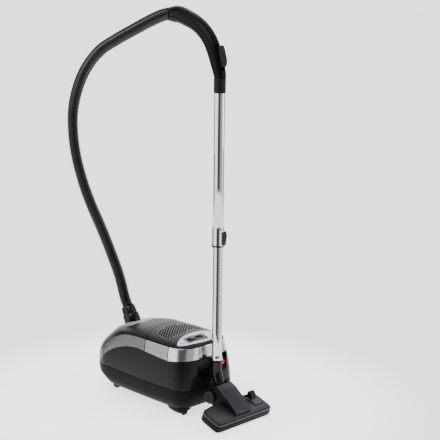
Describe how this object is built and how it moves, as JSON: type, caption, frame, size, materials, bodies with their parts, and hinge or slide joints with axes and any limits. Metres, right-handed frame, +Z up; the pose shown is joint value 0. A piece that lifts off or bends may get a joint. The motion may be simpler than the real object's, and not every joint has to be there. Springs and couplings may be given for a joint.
{
  "type": "canister vacuum cleaner",
  "caption": "Rounded dark canister vacuum cleaner on casters, with corrugated hose, curved handle, chromed telescopic wand and floor nozzle parked upright behind it.",
  "frame": {"origin": "centre of the bounding box at floor level, free hose left out", "axes": "+X from the hose end of the canister to the parked wand and nozzle, +Y across the canister, +Z up"},
  "size_m": [0.8613, 0.2584, 1.313],
  "materials": {
    "satin_shell": "satin",
    "matt_dark": "matt",
    "handle_shell": "satin",
    "front_strip": "satin metallic lacquer",
    "mid_strip": "satin metallic lacquer",
    "bright_strip": "bright plated plastic",
    "silver_plastic": "satin metallic lacquer",
    "dark_window": "gloss",
    "red_mark": "gloss",
    "chrome_tube": "polished",
    "hose_plastic": "satin ribbed",
    "wheel_rubber": "matt",
    "nozzle_blue": "satin",
    "pedal_grey": "ribbed",
    "bristle": "bristle strip",
    "fan_metal": "satin",
    "filter_fleece": "fleece",
    "bag_paper": "soft paper"
  },
  "bodies": {
    "canister": {"base_tray": "matt_dark", "body_shell": "satin_shell", "parking_bracket": "matt_dark", "trim_nose": "front_strip", "trim_front_left": "front_strip", "trim_front_right": "front_strip", "trim_mid_left": "mid_strip", "trim_mid_right": "mid_strip", "trim_rear": "bright_strip", "rear_top_cover": "satin_shell", "exhaust_grille": "matt_dark", "control_panel": "silver_plastic", "regulator_window": "dark_window", "motor_housing": "matt_dark", "exhaust_filter": "filter_fleece", "dust_bag": "bag_paper", "mains_plug": "matt_dark", "plug_mark": "red_mark", "hose": "hose_plastic"},
    "lid_body": {"lid": "satin_shell", "inlet_plate": "silver_plastic", "inlet_port": "matt_dark"},
    "latch": {"lid_latch": "matt_dark"},
    "power_button": {"power_pedal": "silver_plastic"},
    "rewind_button": {"rewind_pedal": "silver_plastic"},
    "regulator": {"regulator_knob": "matt_dark"},
    "fan": {"motor_fan": "fan_metal"},
    "reel": {"cord_reel": "matt_dark"},
    "fork_rear_left": {"caster_fork_rear_left": "matt_dark"},
    "wheel_rear_left": {"caster_wheel_rear_left": "wheel_rubber"},
    "fork_rear_right": {"caster_fork_rear_right": "matt_dark"},
    "wheel_rear_right": {"caster_wheel_rear_right": "wheel_rubber"},
    "fork_front_left": {"caster_fork_front_left": "matt_dark"},
    "wheel_front_left": {"caster_wheel_front_left": "wheel_rubber"},
    "fork_front_right": {"caster_fork_front_right": "matt_dark"},
    "wheel_front_right": {"caster_wheel_front_right": "wheel_rubber"},
    "cuff": {"hose_cuff": "matt_dark"},
    "cuff_release": {"cuff_button": "matt_dark"},
    "wand_upper": {"handle_shell_left": "handle_shell", "handle_shell_right": "handle_shell", "handle_spigot": "matt_dark", "upper_tube": "chrome_tube", "telescope_collar": "chrome_tube", "collar_ring": "matt_dark"},
    "hose_end": {"hose_end_cuff": "matt_dark"},
    "lock": {"lock_button": "matt_dark"},
    "suction_relief": {"relief_slider": "matt_dark"},
    "wand_lower": {"lower_tube": "chrome_tube", "neck": "matt_dark", "parking_hook": "matt_dark"},
    "nozzle": {"nozzle_base": "matt_dark", "nozzle_top": "nozzle_blue", "nozzle_yoke": "matt_dark", "nozzle_saddle": "nozzle_blue"},
    "wheel_left": {"roller_left": "wheel_rubber"},
    "wheel_right": {"roller_right": "wheel_rubber"},
    "pedal": {"foot_pedal": "matt_dark", "pedal_pad": "pedal_grey"},
    "bristles": {"bristle_front": "bristle", "bristle_rear": "bristle"}
  },
  "joints": [
    {"name": "lid_hinge", "type": "hinge", "parent": "canister", "child": "lid_body", "pos_m": [-0.03196, 0, 0.24], "axis": [0, 1, 0], "range_deg": [0, 60], "deforming": ["hose"]},
    {"name": "latch_press", "type": "slide", "parent": "lid_body", "child": "latch", "axis": [1, 0, 0], "range_m": [0, 0.004], "stiffness_N_per_m": 400, "springref_m": -0.0005},
    {"name": "power_press", "type": "slide", "parent": "canister", "child": "power_button", "axis": [0, 0, -1], "range_m": [0, 0.003], "stiffness_N_per_m": 600, "springref_m": -0.0005},
    {"name": "rewind_press", "type": "slide", "parent": "canister", "child": "rewind_button", "axis": [0, 0, -1], "range_m": [0, 0.003], "stiffness_N_per_m": 600, "springref_m": -0.0005},
    {"name": "regulator_slide", "type": "slide", "parent": "canister", "child": "regulator", "axis": [0, 1, 0], "range_m": [-0.01, 0.034]},
    {"name": "fan_spin", "type": "hinge", "parent": "canister", "child": "fan", "pos_m": [-0.02, 0, 0.1], "axis": [1, 0, 0], "continuous": true},
    {"name": "reel_spin", "type": "hinge", "parent": "canister", "child": "reel", "pos_m": [0.07464, 0.014, 0.05], "axis": [0, 0, 1], "continuous": true},
    {"name": "swivel_rear_left", "type": "hinge", "parent": "canister", "child": "fork_rear_left", "pos_m": [0.11264, -0.083, 0.015], "axis": [0, 0, 1], "continuous": true},
    {"name": "roll_rear_left", "type": "hinge", "parent": "fork_rear_left", "child": "wheel_rear_left", "pos_m": [0.11764, -0.083, 0.0094], "axis": [0, 1, 0], "continuous": true},
    {"name": "swivel_rear_right", "type": "hinge", "parent": "canister", "child": "fork_rear_right", "pos_m": [0.11264, 0.083, 0.015], "axis": [0, 0, 1], "continuous": true},
    {"name": "roll_rear_right", "type": "hinge", "parent": "fork_rear_right", "child": "wheel_rear_right", "pos_m": [0.11764, 0.083, 0.0094], "axis": [0, 1, 0], "continuous": true},
    {"name": "swivel_front_left", "type": "hinge", "parent": "canister", "child": "fork_front_left", "pos_m": [-0.23036, -0.066, 0.015], "axis": [0, 0, 1], "continuous": true},
    {"name": "roll_front_left", "type": "hinge", "parent": "fork_front_left", "child": "wheel_front_left", "pos_m": [-0.22536, -0.066, 0.0094], "axis": [0, 1, 0], "continuous": true},
    {"name": "swivel_front_right", "type": "hinge", "parent": "canister", "child": "fork_front_right", "pos_m": [-0.23036, 0.066, 0.015], "axis": [0, 0, 1], "continuous": true},
    {"name": "roll_front_right", "type": "hinge", "parent": "fork_front_right", "child": "wheel_front_right", "pos_m": [-0.22536, 0.066, 0.0094], "axis": [0, 1, 0], "continuous": true},
    {"name": "cuff_swivel", "type": "hinge", "parent": "lid_body", "child": "cuff", "pos_m": [-0.21636, 0, 0.226], "axis": [-0.4695, 0, 0.8829], "continuous": true},
    {"name": "cuff_release_press", "type": "slide", "parent": "cuff", "child": "cuff_release", "axis": [-0.8829, 0, -0.4695], "range_m": [0, 0.003], "stiffness_N_per_m": 400, "springref_m": -0.0005},
    {"name": "wand_lift", "type": "slide", "parent": "canister", "child": "wand_upper", "axis": [0, 0, 1], "range_m": [0, 0.2], "deforming": ["hose"]},
    {"name": "hose_end_swivel", "type": "hinge", "parent": "wand_upper", "child": "hose_end", "pos_m": [-0.02, 0, 1.286], "axis": [1, 0, 0], "continuous": true},
    {"name": "lock_press", "type": "slide", "parent": "wand_upper", "child": "lock", "axis": [-1, 0, 0], "range_m": [0, 0.003], "stiffness_N_per_m": 500, "springref_m": -0.0005},
    {"name": "relief_slide", "type": "slide", "parent": "wand_upper", "child": "suction_relief", "axis": [0, 0, -1], "range_m": [0, 0.01]},
    {"name": "telescope", "type": "slide", "parent": "wand_upper", "child": "wand_lower", "axis": [0, 0, 1], "range_m": [0, 0.27]},
    {"name": "nozzle_tilt", "type": "hinge", "parent": "wand_lower", "child": "nozzle", "pos_m": [0.18964, 0, 0.0688], "axis": [0, 1, 0], "range_deg": [0, 50]},
    {"name": "wheel_left_roll", "type": "hinge", "parent": "nozzle", "child": "wheel_left", "pos_m": [0.18964, 0, 0.0688], "axis": [0, 1, 0], "continuous": true},
    {"name": "wheel_right_roll", "type": "hinge", "parent": "nozzle", "child": "wheel_right", "pos_m": [0.18964, 0, 0.0688], "axis": [0, 1, 0], "continuous": true},
    {"name": "pedal_rock", "type": "hinge", "parent": "nozzle", "child": "pedal", "pos_m": [0.2679, 0, 0.0499], "axis": [0, 1, 0], "range_deg": [0, 10], "stiffness_Nm_per_rad": 0.6, "springref_deg": -1.15},
    {"name": "bristle_drop", "type": "slide", "parent": "nozzle", "child": "bristles", "axis": [-0.3419, 0, -0.9397], "range_m": [0, 0.0045]}
  ],
  "couplings": [
    {"joint": "bristle_drop", "follows": "pedal_rock", "m_per_rad": 0.0229}
  ]
}
